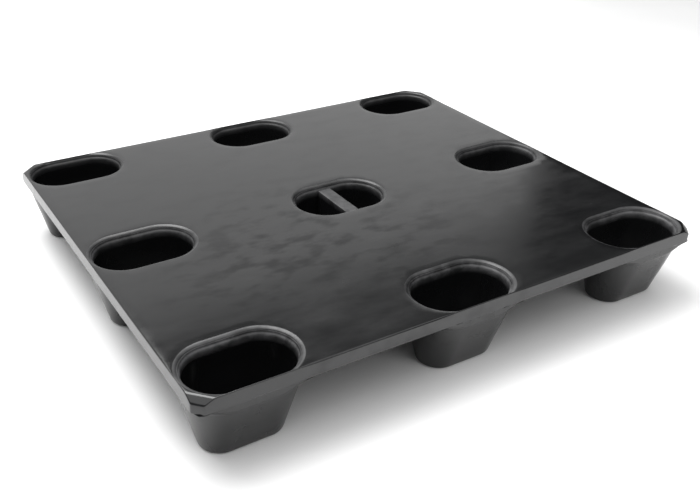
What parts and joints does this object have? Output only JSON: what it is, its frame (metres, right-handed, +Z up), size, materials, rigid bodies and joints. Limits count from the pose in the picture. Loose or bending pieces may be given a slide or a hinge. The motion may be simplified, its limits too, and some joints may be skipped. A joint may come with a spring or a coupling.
{
  "type": "plastic pallet",
  "caption": "Flat closed-deck plastic pallet on hollow tapered leg cups, open at the top so that pallets nest, with fork ways from all four sides.",
  "frame": {"origin": "on the floor under the middle of the deck", "axes": "+X along the 1200 mm length, +Y along the 1000 mm width, +Z up"},
  "size_m": [1.2, 1, 0.16],
  "materials": {
    "deck_plastic": "semi-gloss black moulded polyethylene, lightly scuffed",
    "leg_plastic": "semi-gloss black moulded polyethylene, worn at the foot"
  },
  "bodies": {
    "root": {"deck": "deck_plastic", "leg_front_left": "leg_plastic", "leg_front_middle": "leg_plastic", "leg_front_right": "leg_plastic", "leg_middle_left": "leg_plastic", "leg_centre": "leg_plastic", "leg_middle_right": "leg_plastic", "leg_back_left": "leg_plastic", "leg_back_middle": "leg_plastic", "leg_back_right": "leg_plastic"}
  },
  "joints": []
}
